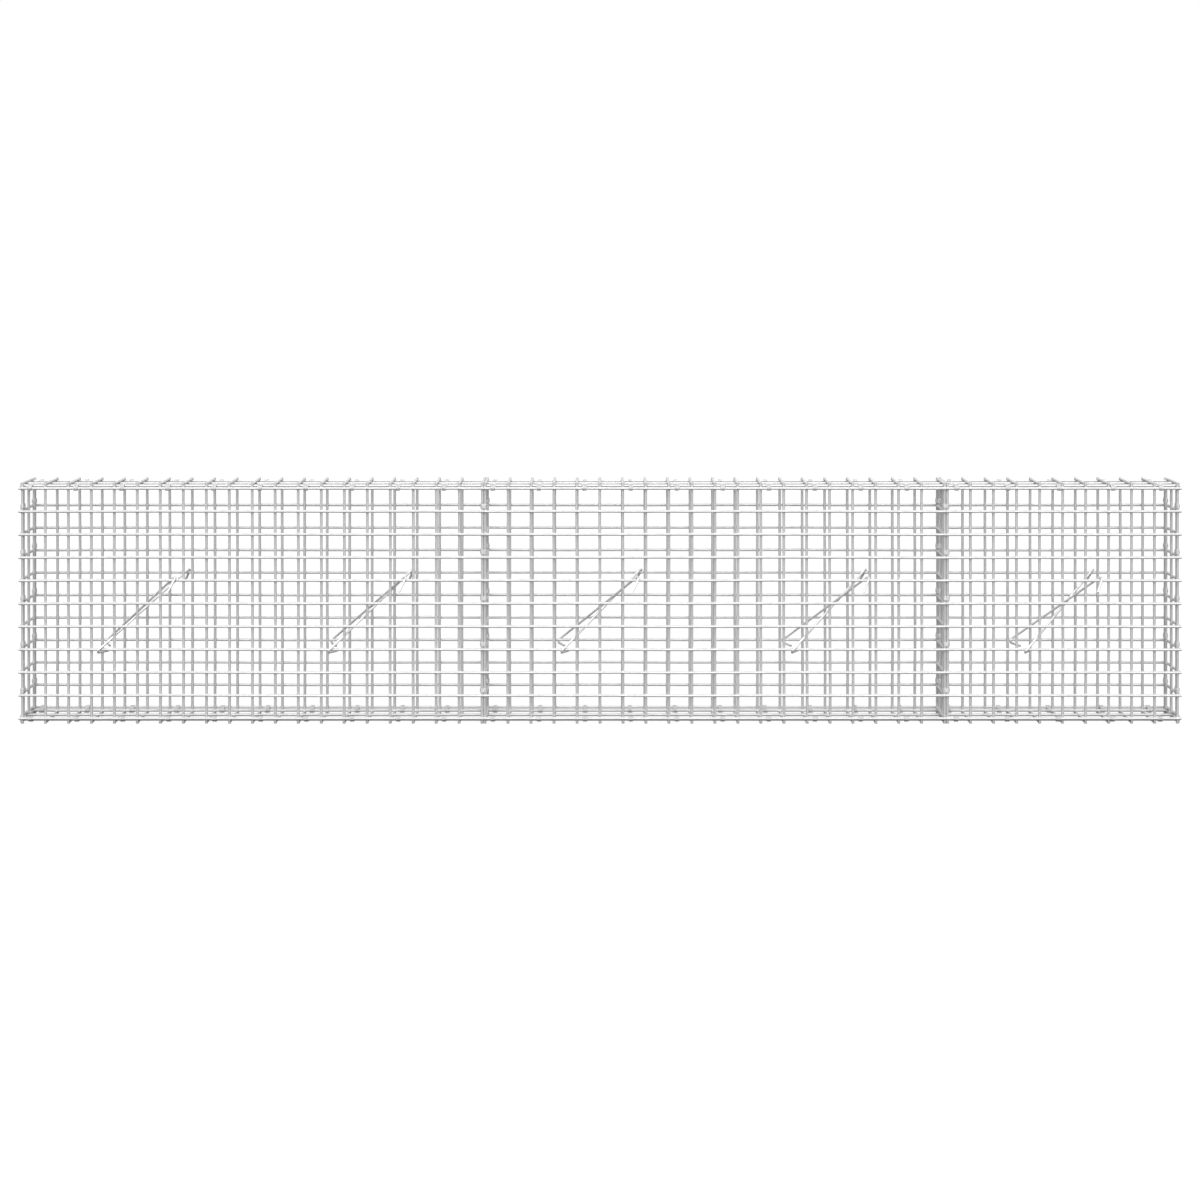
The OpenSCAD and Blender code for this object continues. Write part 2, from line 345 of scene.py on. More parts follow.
class Tree:
    """A geometry node tree that is built one node at a time."""

    def __init__(self, name: str) -> None:
        """Starts an empty tree with one geometry output.

        Args:
            name: Name of the tree.
        """
        self.group = bpy.data.node_groups.new(name, "GeometryNodeTree")
        self.group.interface.new_socket(name="Geometry", in_out="OUTPUT", socket_type="NodeSocketGeometry")
        self.entry = self.group.nodes.new("NodeGroupInput")
        self.sockets: dict[str, str] = {}

    def take(self, name: str, kind: str) -> bpy.types.NodeSocket:
        """Adds a named input.

        Args:
            name: Name of the input.
            kind: Its kind, such as Float, Int, Vector, Geometry or Material.

        Returns:
            The socket that gives the input's value inside the tree.
        """
        made = self.group.interface.new_socket(name=name, in_out="INPUT", socket_type=f"NodeSocket{kind}")
        self.sockets[name] = made.identifier
        return self.entry.outputs[name]

    def add(self, kind: str, inputs: dict | None = None, **settings: object) -> bpy.types.Node:
        """Adds a node.

        Args:
            kind: The node's type, without its GeometryNode prefix if it has one.
            inputs: Values or sockets for its inputs, by name or number.
            **settings: The node's own settings.

        Returns:
            The new node.
        """
        full = kind if kind.startswith(("Shader", "Function")) else f"GeometryNode{kind}"
        node = self.group.nodes.new(full)
        for key, value in settings.items():
            setattr(node, key, value)
        for key, value in (inputs or {}).items():
            if isinstance(value, bpy.types.NodeSocket):
                self.group.links.new(value, node.inputs[key])
            else:
                node.inputs[key].default_value = value
        return node

    def math(self, operation: str, *values: object) -> bpy.types.NodeSocket:
        """Adds one sum on numbers, each a value or a socket, and returns its result."""
        node = self.add("ShaderNodeMath", dict(enumerate(values)), operation=operation)
        return node.outputs[0]

    def vector(self, x: object = 0.0, y: object = 0.0, z: object = 0.0) -> bpy.types.NodeSocket:
        """Joins three numbers, each a value or a socket, into a vector."""
        return self.add("ShaderNodeCombineXYZ", {"X": x, "Y": y, "Z": z}).outputs[0]

    def scaled(self, vector: bpy.types.NodeSocket, factor: object) -> bpy.types.NodeSocket:
        """Returns a vector times a number."""
        node = self.add("ShaderNodeVectorMath", {0: vector, "Scale": factor}, operation="SCALE")
        return node.outputs[0]

    def window(self, distance: bpy.types.NodeSocket, over: float) -> bpy.types.NodeSocket:
        """Returns a number that rises from 0 to 1 over a distance."""
        node = self.add("ShaderNodeMapRange", {"Value": distance, "From Min": 0.0, "From Max": over},
                        interpolation_type="SMOOTHSTEP")
        return node.outputs[0]

    def sway(self, geometry: bpy.types.NodeSocket) -> bpy.types.NodeSocket:
        """Moves points by the wander that all pieces of the basket share.

        Args:
            geometry: The points, wires or faces that move.

        Returns:
            The moved geometry.
        """
        place = self.add("InputPosition").outputs[0]
        axes = self.add("ShaderNodeSeparateXYZ", {0: place}).outputs
        noise = self.add("ShaderNodeTexNoise", {"Vector": place, "Scale": 1 / SWAY.wave, "Detail": 1.0})
        wander = self.add("FunctionNodeSeparateColor", {0: noise.outputs["Color"]}).outputs
        from_end = self.math("SUBTRACT", WALL_HIGH.x, self.math("ABSOLUTE", axes[0]))
        from_floor = self.math("MINIMUM", axes[2], self.math("SUBTRACT", WALL_HIGH.z, axes[2]))
        dying_x = self.window(from_end, SWAY.edge)
        dying_z = self.window(from_floor, SWAY.edge)
        side = self.math("MULTIPLY", self.math("MULTIPLY_ADD", wander[0], 4.0, -2.0), SWAY.side)
        sag = self.math("MULTIPLY", self.math("MULTIPLY_ADD", wander[1], 4.0, -2.0), SWAY.sag)
        belly = self.math("MULTIPLY", wander[2], -SWAY.belly / WALL_HIGH.y)
        offset = self.vector(self.math("MULTIPLY", side, dying_x),
                             self.math("MULTIPLY", belly, axes[1]),
                             self.math("MULTIPLY", sag, dying_z))
        return self.add("SetPosition", {"Geometry": geometry, "Offset": offset}).outputs[0]

    def tube(self, curve: bpy.types.NodeSocket, radius: object, sides: object) -> bpy.types.NodeSocket:
        """Sweeps a round wire along curves and smooths it, with its cut ends left sharp."""
        profile = self.add("CurvePrimitiveCircle", {"Resolution": sides, "Radius": radius}, mode="RADIUS")
        swept = self.add("CurveToMesh", {"Curve": curve, "Profile Curve": profile.outputs[0],
                                         "Fill Caps": True}).outputs[0]
        smooth = self.add("SetShadeSmooth", {"Geometry": swept}, domain="FACE").outputs[0]
        angle = self.add("InputMeshEdgeAngle").outputs[0]
        flat = self.math("LESS_THAN", angle, math.radians(50))
        return self.add("SetShadeSmooth", {"Geometry": smooth, "Shade Smooth": flat}, domain="EDGE").outputs[0]

    def finish(self, geometry: bpy.types.NodeSocket) -> None:
        """Ends the tree: instances are made real and take the finish.

        Args:
            geometry: What the tree has made.
        """
        real = self.add("RealizeInstances", {"Geometry": geometry}).outputs[0]
        finish = self.take("Finish", "Material")
        dressed = self.add("SetMaterial", {"Geometry": real, "Material": finish}).outputs[0]
        leave = self.group.nodes.new("NodeGroupOutput")
        self.group.links.new(dressed, leave.inputs[0])

    def make(self, name: str, values: dict, points: list[Vector] | None = None,
             joined: bool = False) -> bpy.types.Object:
        """Runs the tree once and returns its result as a plain mesh.

        Args:
            name: Name of the new object.
            values: The tree's inputs by name.
            points: Points that the tree's own geometry starts from.
            joined: Whether those points are joined into one line.

        Returns:
            An object at the origin with the finished mesh.
        """
        seed = bpy.data.meshes.new(name)
        edges = [(i, i + 1) for i in range(len(points) - 1)] if joined and points else []
        seed.from_pydata(points or [], edges, [])
        holder = bpy.data.objects.new(name + ".seed", seed)
        bpy.context.scene.collection.objects.link(holder)
        modifier = holder.modifiers.new("tree", "NODES")
        modifier.node_group = self.group
        for key, value in values.items():
            modifier[self.sockets[key]] = value
        bpy.context.view_layer.update()
        evaluated = holder.evaluated_get(bpy.context.evaluated_depsgraph_get())
        mesh = bpy.data.meshes.new_from_object(evaluated)
        mesh.name = name
        bpy.data.objects.remove(holder)
        made = bpy.data.objects.new(name, mesh)
        bpy.context.scene.collection.objects.link(made)
        return made


def rank_tree() -> Tree:
    """A rank of straight wires side by side.

    Returns:
        The tree. Each wire is a line of rings with its cut ends a little rounded.
    """
    tree = Tree("wire_rank")
    count = tree.take("Count", "Int")
    start = tree.take("Start", "Vector")
    step = tree.take("Step", "Vector")
    run = tree.take("Run", "Vector")
    length = tree.take("Length", "Float")
    rings = tree.take("Rings", "Int")
    radius = tree.take("Radius", "Float")
    sides = tree.take("Sides", "Int")
    chamfer = tree.take("Chamfer", "Float")

    line = tree.add("MeshLine", {"Count": rings}, mode="OFFSET").outputs[0]
    index = tree.add("InputIndex").outputs[0]
    inner = tree.math("SUBTRACT", length, tree.math("MULTIPLY", chamfer, 2.0))
    share = tree.math("DIVIDE", tree.math("SUBTRACT", index, 1.0), tree.math("SUBTRACT", rings, 3.0))
    along = tree.math("MULTIPLY_ADD", share, inner, chamfer)
    along = tree.math("MAXIMUM", tree.math("MINIMUM", along, length), 0.0)
    placed = tree.add("SetPosition", {"Geometry": line, "Position": tree.scaled(run, along)}).outputs[0]
    wire = tree.add("MeshToCurve", {0: placed}).outputs[0]
    last = tree.math("SUBTRACT", rings, 1.0)
    from_tip = tree.math("MINIMUM", index, tree.math("SUBTRACT", last, index))
    thick = tree.math("MULTIPLY_ADD", tree.math("MINIMUM", from_tip, 1.0), 0.25, 0.75)
    wire = tree.add("SetCurveRadius", {0: wire, "Radius": thick}).outputs[0]

    places = tree.add("MeshLine", {"Count": count, "Start Location": start, "Offset": step}, mode="OFFSET")
    rank = tree.add("InstanceOnPoints", {"Points": places.outputs[0], "Instance": wire}).outputs[0]
    rank = tree.add("RealizeInstances", {"Geometry": rank}).outputs[0]
    tree.finish(tree.tube(tree.sway(rank), radius, sides))
    return tree


def weld_tree() -> Tree:
    """The welds of a mesh: a small bead between the two wires of every crossing.

    Returns:
        The tree.
    """
    tree = Tree("welds")
    columns = tree.take("Columns", "Int")
    column_step = tree.take("Column Step", "Vector")
    rows = tree.take("Rows", "Int")
    row_step = tree.take("Row Step", "Vector")
    start = tree.take("Start", "Vector")
    bead_radius = tree.take("Radius", "Float")
    flatten = tree.take("Shape", "Vector")

    across = tree.add("MeshLine", {"Count": columns, "Start Location": start, "Offset": column_step},
                      mode="OFFSET").outputs[0]
    up = tree.add("MeshLine", {"Count": rows, "Offset": row_step}, mode="OFFSET").outputs[0]
    grid = tree.add("InstanceOnPoints", {"Points": across, "Instance": up}).outputs[0]
    grid = tree.add("RealizeInstances", {"Geometry": grid}).outputs[0]
    bead = tree.add("MeshUVSphere", {"Segments": 8, "Rings": 6, "Radius": bead_radius}).outputs[0]
    bead = tree.add("SetShadeSmooth", {"Geometry": bead}).outputs[0]
    size = tree.add("FunctionNodeRandomValue", {0: (0.9, 0.9, 0.9), 1: (1.1, 1.1, 1.1), "Seed": 7},
                    data_type="FLOAT_VECTOR").outputs[0]
    scale = tree.add("ShaderNodeVectorMath", {0: size, 1: flatten}, operation="MULTIPLY").outputs[0]
    beads = tree.add("InstanceOnPoints", {"Points": tree.sway(grid), "Instance": bead, "Scale": scale})
    tree.finish(beads.outputs[0])
    return tree


def coil_tree() -> Tree:
    """Close coils, each wound in an oval round the wires inside it.

    Returns:
        The tree. Its geometry input is a point for the middle of each coil.
    """
    tree = Tree("coils")
    points = tree.take("Places", "Geometry")
    turn = tree.take("Turn", "Vector")
    straight_x = tree.take("Straight X", "Float")
    straight_y = tree.take("Straight Y", "Float")
    bend = tree.take("Bend", "Float")
    pitch = tree.take("Pitch", "Float")
    turns = tree.take("Turns", "Float")
    steps = tree.take("Steps", "Int")
    radius = tree.take("Radius", "Float")
    sides = tree.take("Sides", "Int")

    line = tree.add("MeshLine", {"Count": steps}, mode="OFFSET").outputs[0]
    index = tree.add("InputIndex").outputs[0]
    share = tree.math("DIVIDE", index, tree.math("SUBTRACT", steps, 1.0))
    angle = tree.math("MULTIPLY", tree.math("MULTIPLY", share, turns), math.tau)
    spot = []
    for operation, straight in (("COSINE", straight_x), ("SINE", straight_y)):
        swing = tree.math(operation, angle)
        to_side = tree.math("MULTIPLY", swing, 2.4)
        to_side = tree.math("MAXIMUM", tree.math("MINIMUM", to_side, 1.0), -1.0)
        spot.append(tree.math("MULTIPLY_ADD", to_side, straight, tree.math("MULTIPLY", swing, bend)))
    height = tree.math("MULTIPLY", tree.math("MULTIPLY", tree.math("SUBTRACT", share, 0.5), turns), pitch)
    placed = tree.add("SetPosition", {"Geometry": line, "Position": tree.vector(spot[0], spot[1], height)})
    wound = tree.add("MeshToCurve", {0: placed.outputs[0]}).outputs[0]
    coil = tree.tube(wound, radius, sides)
    coils = tree.add("InstanceOnPoints", {"Points": tree.sway(points), "Instance": coil, "Rotation": turn})
    tree.finish(coils.outputs[0])
    return tree


def rod_tree() -> Tree:
    """A round rod along the line of points that it is given.

    Returns:
        The tree.
    """
    tree = Tree("rod")
    points = tree.take("Path", "Geometry")
    radius = tree.take("Radius", "Float")
    sides = tree.take("Sides", "Int")
    path = tree.add("MeshToCurve", {0: tree.sway(points)}).outputs[0]
    tree.finish(tree.tube(path, radius, sides))
    return tree


# Pieces


def join(name: str, pieces: list[bpy.types.Object]) -> bpy.types.Object:
    """Joins objects that sit at the origin into one.

    Args:
        name: Name of the result.
        pieces: The objects, all with the same finish.

    Returns:
        The joined object.
    """
    with bpy.context.temp_override(active_object=pieces[0], selected_editable_objects=pieces):
        bpy.ops.object.join()
    pieces[0].name = name
    pieces[0].data.name = name
    return pieces[0]


def settle(piece: bpy.types.Object, nodes: list[str]) -> bpy.types.Object:
    """Puts a finished piece in place of its nodes of the frame.

    Args:
        piece: The finished piece.
        nodes: The nodes that it stands for.

    Returns:
        The same piece.
    """
    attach(piece, BODY)
    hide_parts(*nodes)
    return piece


@dataclass
class Rank:
    """A rank of like wires.

    Attributes:
        start: Start of the first wire.
        run: Direction of the wires.
        length: Length of each wire.
        step: Step from one wire to the next.
        count: Number of wires.
    """

    start: Vector
    run: Direction
    length: float
    step: Vector = field(default_factory=Vector)
    count: int = 1


@dataclass
class Welds:
    """The welds of one mesh, in rows and columns.

    Attributes:
        start: The first weld.
        column_step: Step from column to column.
        columns: Number of columns.
        row_step: Step from row to row.
        rows: Number of rows.
        facing: Direction from one layer of wire to the other.
    """

    start: Vector
    column_step: Vector
    columns: int
    row_step: Vector
    rows: int
    facing: Direction


@dataclass
class Workshop:
    """The trees that every piece is made with.

    Attributes:
        ranks: Makes straight wires.
        welds: Makes welds.
        coils: Makes clips.
        rods: Makes ties.
    """

    ranks: Tree = field(default_factory=rank_tree)
    welds: Tree = field(default_factory=weld_tree)
    coils: Tree = field(default_factory=coil_tree)
    rods: Tree = field(default_factory=rod_tree)

    ring_step: float = 25 * MM
    wire_sides: int = 12
    chamfer: float = 0.5 * MM
    bead: float = 3.1 * MM
    bead_thin: float = 0.55

    def wires(self, name: str, rank: Rank, finish: ZincFinish) -> bpy.types.Object:
        """Makes the wires of one rank.

        Args:
            name: Name of the object.
            rank: The wires.
            finish: Their finish.

        Returns:
            One object with all the rank's wires.
        """
        rings = max(4, round(rank.length / self.ring_step) + 3)
        return self.ranks.make(name, {
            "Count": rank.count, "Start": rank.start, "Step": rank.step,
            "Run": rank.run.vector, "Length": rank.length, "Rings": rings,
            "Radius": MESH.radius, "Sides": self.wire_sides, "Chamfer": self.chamfer,
            "Finish": finish.material(),
        })

    def beads(self, name: str, welds: Welds, finish: ZincFinish) -> bpy.types.Object:
        """Makes the welds of one mesh.

        Args:
            name: Name of the object.
            welds: The welds.
            finish: Their finish.

        Returns:
            One object with all the welds.
        """
        thin = Vector(1 - (1 - self.bead_thin) * abs(c) for c in welds.facing.value)
        return self.welds.make(name, {
            "Start": welds.start, "Columns": welds.columns, "Column Step": welds.column_step,
            "Rows": welds.rows, "Row Step": welds.row_step, "Radius": self.bead, "Shape": thin,
            "Finish": finish.material(),
        })


@dataclass
class MeshPanel:
    """A flat panel of welded mesh that stands for one node of the frame.

    Attributes:
        node: The node that the panel replaces.
        name: The panel's own name.
        shop: The trees that make it.
        finish: Its finish.
    """

    node: str
    name: str
    shop: Workshop
    finish: ZincFinish = MESH_ZINC

    @property
    def low(self) -> Vector:
        """Lowest corner of the panel's node."""
        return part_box(self.node)[0]

    @property
    def high(self) -> Vector:
        """Highest corner of the panel's node."""
        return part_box(self.node)[1]

    def overhang(self) -> float:
        """Length of the level wires past the panel's first upright or cross wire."""
        at_end = abs(self.low.x - WALL_LOW.x) < MESH.radius
        return MESH.end_overhang if at_end else MESH.seam_overhang

    def columns(self) -> int:
        """Wires that a bay has along its length, counted from the panel's width."""
        return int((self.high.x - self.low.x) / MESH.pitch) + 1

    def ranks(self) -> list[Rank]:
        """The panel's wires, rank by rank."""
        raise NotImplementedError

    def welds(self) -> list[Welds]:
        """The panel's welds."""
        raise NotImplementedError

    def build(self) -> bpy.types.Object:
        """Makes the panel and puts it in its node's place.

        Returns:
            The finished panel.
        """
        made = [self.shop.wires(f"{self.name}_{i}", rank, self.finish) for i, rank in enumerate(self.ranks())]
        made += [self.shop.beads(f"{self.name}_w{i}", welds, self.finish)
                 for i, welds in enumerate(self.welds())]
        return settle(join(self.name, made), [self.node])


@dataclass
class FacePanel(MeshPanel):
    """The front or back mesh of a bay: level wires outside, uprights inside.

    Attributes:
        face: Whether it is the front or the back one.
    """

    face: Face = Face.FRONT

    def ranks(self) -> list[Rank]:
        """The level wires, then the uprights."""
        outer = self.high.y - MESH.radius if self.face is Face.BACK else self.low.y + MESH.radius
        inner = outer - self.face.value * MESH.weld_step
        rows = round((self.high.z - self.low.z - 2 * MESH.foot) / MESH.pitch) + 1
        level = Rank(Vector((self.low.x, outer, self.low.z + MESH.foot)), Direction.ALONG,
                     self.high.x - self.low.x, Vector((0, 0, MESH.pitch)), rows)
        upright = Rank(Vector((self.low.x + self.overhang(), inner, self.low.z)), Direction.UP,
                       self.high.z - self.low.z, Vector((MESH.pitch, 0, 0)), self.columns())
        return [level, upright]

    def welds(self) -> list[Welds]:
        """One weld at every crossing."""
        level, upright = self.ranks()
        start = Vector((upright.start.x, (level.start.y + upright.start.y) / 2, level.start.z))
        return [Welds(start, upright.step, upright.count, level.step, level.count, Direction.ACROSS)]


@dataclass
class CoverPanel(MeshPanel):
    """The lid or the base of a bay: three long wires with cross wires over or under them.

    Attributes:
        level: Whether it is the lid or the base.
    """

    level: Level = Level.LID

    def heights(self) -> tuple[float, float]:
        """Heights of the long wires and of the cross wires."""
        if self.level is Level.LID:
            return self.low.z + MESH.radius, self.high.z - MESH.radius
        return self.high.z - MESH.radius, self.low.z + MESH.radius

    def ranks(self) -> list[Rank]:
        """The long wires, the cross wires, and the one that stands out at an end of the wall."""
        long_z, cross_z = self.heights()
        edge_y = self.high.y - MESH.radius
        width = self.high.y - self.low.y
        long_wires = Rank(Vector((self.low.x, -edge_y, long_z)), Direction.ALONG,
                          self.high.x - self.low.x, Vector((0, edge_y, 0)), 3)
        first, count = self.low.x + self.overhang(), self.columns()
        at_left = self.overhang() == MESH.end_overhang
        at_right = WALL_HIGH.x - self.high.x < MESH.radius
        skipped = int(at_left)
        cross = Rank(Vector((first + skipped * MESH.pitch, self.low.y, cross_z)), Direction.ACROSS,
                     width, Vector((MESH.pitch, 0, 0)), count - skipped - int(at_right))
        ranks = [long_wires, cross]
        if at_left:
            ranks.append(Rank(Vector((first - MESH.end_step, self.low.y, cross_z)), Direction.ACROSS, width))
        if at_right:
            last = first + (count - 1) * MESH.pitch + MESH.end_step
            ranks.append(Rank(Vector((last, self.low.y, cross_z)), Direction.ACROSS, width))
        return ranks

    def welds(self) -> list[Welds]:
        """Welds of the cross wires on the long wires."""
        long_wires, *crosses = self.ranks()
        middle = (long_wires.start.z + crosses[0].start.z) / 2
        return [
            Welds(Vector((cross.start.x, long_wires.start.y, middle)), cross.step, cross.count,
                  long_wires.step, long_wires.count, Direction.UP)
            for cross in crosses
        ]


@dataclass
class CrossPanel(MeshPanel):
    """An end panel or a diaphragm: level wires across the wall on one side of three uprights.

    Attributes:
        level_side: Sign of X from the uprights to the level wires.
    """

    level_side: int = 1

    def ranks(self) -> list[Rank]:
        """The level wires, then the uprights."""
        level_x = self.high.x - MESH.radius if self.level_side > 0 else self.low.x + MESH.radius
        stud_x = level_x - self.level_side * MESH.weld_step
        height, width = self.high.z - self.low.z, self.high.y - self.low.y
        stud_y = self.high.y + MESH.radius + MESH.clear - MESH.seam_step
        upright = Rank(Vector((stud_x, -stud_y, self.low.z)), Direction.UP, height, Vector((0, stud_y, 0)), 3)
        low_z, high_z = self.low.z + MESH.radius, self.high.z - MESH.radius
        second = low_z - MESH.give + MESH.pitch
        between = round((high_z + MESH.give - second) / MESH.pitch)
        level = Rank(Vector((level_x, self.low.y, second)), Direction.ACROSS, width,
                     Vector((0, 0, MESH.pitch)), between)
        ends = Rank(Vector((level_x, self.low.y, low_z)), Direction.ACROSS, width,
                    Vector((0, 0, high_z - low_z)), 2)
        return [upright, level, ends]

    def welds(self) -> list[Welds]:
        """One weld at every crossing."""
        upright, *levels = self.ranks()
        middle = (levels[0].start.x + upright.start.x) / 2
        return [
            Welds(Vector((middle, upright.start.y, level.start.z)), upright.step, upright.count,
                  level.step, level.count, Direction.ALONG)
            for level in levels
        ]


def clip_places(node: str) -> list[Vector]:
    """Middles of the separate clips in one node of the frame.

    Args:
        node: The node's name.

    Returns:
        The middle of each clip's box, along the node.
    """
    low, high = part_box(node)
    axis = 0 if high.x - low.x > high.z - low.z else 2
    corners = sorted((v.co.copy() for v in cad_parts[node].data.vertices), key=lambda co: co[axis])
    clips = [[corners[0]]]
    for corner in corners[1:]:
        if corner[axis] - clips[-1][0][axis] > COIL.length * 1.5:
            clips.append([])
        clips[-1].append(corner)
    middles = []
    for clip in clips:
        spans = [(min(c[i] for c in clip), max(c[i] for c in clip)) for i in range(3)]
        middles.append(Vector((a + b) / 2 for a, b in spans))
    return middles


@dataclass
class ClipRow:
    """A row of coiled clips that hold the edges of two or more panels together.

    Attributes:
        node: The node that the row replaces.
        name: The row's own name.
        shop: The trees that make it.
        spread_x: Distance between the outermost wires inside a coil along its own X.
        spread_y: The same along its own Y.
        turn: Turn of the coil, whose own length is along Z.
        finish: Its finish.
    """

    node: str
    name: str
    shop: Workshop
    spread_x: float
    spread_y: float
    turn: Matrix = field(default_factory=lambda: Matrix.Identity(3))
    finish: ZincFinish = COIL_ZINC
    steps_a_turn: int = 28
    sides: int = 8

    def build(self) -> bpy.types.Object:
        """Makes the row and puts it in its node's place.

        Returns:
            The finished row.
        """
        made = self.shop.coils.make(self.name, {
            "Turn": Vector(self.turn.to_euler()), "Straight X": self.spread_x / 2,
            "Straight Y": self.spread_y / 2, "Bend": MESH.radius + COIL.clear + COIL.wire / 2,
            "Pitch": COIL.pitch, "Turns": COIL.turns, "Steps": round(COIL.turns * self.steps_a_turn) + 1,
            "Radius": COIL.wire / 2, "Sides": self.sides, "Finish": self.finish.material(),
        }, clip_places(self.node))
        return settle(made, [self.node])


def edge_turn(face: Face, level: Level, drop: float, rise: float) -> Matrix:
    """Turn of a clip on a long edge: its length along the wall, its width along the slope.

    Args:
        face: Front or back.
        level: Lid or base.
        drop: Distance in from the panel's edge wire to the cover's long wire.
        rise: Distance up or down between them.

    Returns:
        The turn.
    """
    long_way = Direction.ALONG.vector
    slope = Vector((0, -face.value * drop, level.value * rise)).normalized()
    return Matrix((slope, long_way.cross(slope), long_way)).transposed()


@dataclass
class TiePair:
    """Two hooked ties that cross between the front and the back mesh.

    Attributes:
        node: The node that the pair replaces.
        name: The pair's own name.
        shop: The trees that make it.
        finish: Its finish.
        bend_steps: Steps in a hook's bend.
        rod_steps: Steps along the straight part.
        sides: Sides of the rod.
    """

    node: str
    name: str
    shop: Workshop
    finish: ZincFinish = TIE_ZINC
    bend_steps: int = 14
    rod_steps: int = 12
    sides: int = 14

    def path(self, length: float) -> list[Vector]:
        """Middle line of a tie, with X from the lower wire to the upper one and the straight on the +Y side.

        Args:
            length: Distance between the two wires that it hooks onto.

        Returns:
            The line's points from the lower leg's tip to the upper leg's tip.
        """
        angle = math.radians(TIE.angle)
        through = math.pi - angle
        low = self.arc(Vector((-TIE.past, 0)), math.pi / 2 + through, -through)
        high = self.arc(Vector((length + TIE.past, 0)), math.pi / 2, -through)
        low_tip = low[0] + TIE.leg * Vector((math.cos(angle), -math.sin(angle)))
        high_tip = high[-1] + TIE.leg * Vector((-math.cos(angle), -math.sin(angle)))
        straight = [low[-1].lerp(high[0], i / self.rod_steps) for i in range(1, self.rod_steps)]
        return [low_tip, *low, *straight, *high, high_tip]

    def arc(self, centre: Vector, start: float, through: float) -> list[Vector]:
        """Points of a hook's bend from one angle through another, in radians."""
        angles = [start + through * i / self.bend_steps for i in range(self.bend_steps + 1)]
        return [centre + TIE.bend * Vector((math.cos(a), math.sin(a))) for a in angles]

    def place(self, face: Face) -> tuple[Matrix, float]:
        """Place of a tie in the wall, and the distance between the wires that it hooks onto.

        Args:
            face: The face that its lower hook is on.

        Returns:
            The matrix from the tie's own axes to the wall's, and the distance.
        """
        low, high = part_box(self.node)
        across = 2 * (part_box("back_panel_1")[1].y - MESH.radius)
        rise = TIE.rise_rows * MESH.pitch
        length = Vector((TIE.run, across, rise)).length
        start = Vector(((low.x + high.x - TIE.run - face.value * TIE.shift) / 2, face.value * across / 2,
                        WALL_LOW.z + MESH.foot + TIE.low_row * MESH.pitch))
        turn = Matrix.Rotation(-face.value * math.atan2(across, TIE.run), 4, "Z")
        slope = Matrix.Rotation(-math.asin(rise / length), 4, "Y")
        roll = Matrix.Rotation(math.radians(90 - face.value * TIE.roll), 4, "X")
        return Matrix.Translation(start) @ turn @ slope @ roll, length

    def build(self) -> bpy.types.Object:
        """Makes both ties and puts them in their node's place.

        Returns:
            The finished pair.
        """
        ties = []
        for face in Face:
            place, length = self.place(face)
            points = [place @ point.to_3d() for point in self.path(length)]
            ties.append(self.shop.rods.make(f"{self.name}_{face.name.lower()}", {
                "Radius": TIE.wire / 2, "Sides": self.sides, "Finish": self.finish.material(),
            }, points, joined=True))
        return settle(join(self.name, ties), [self.node])


# The studio


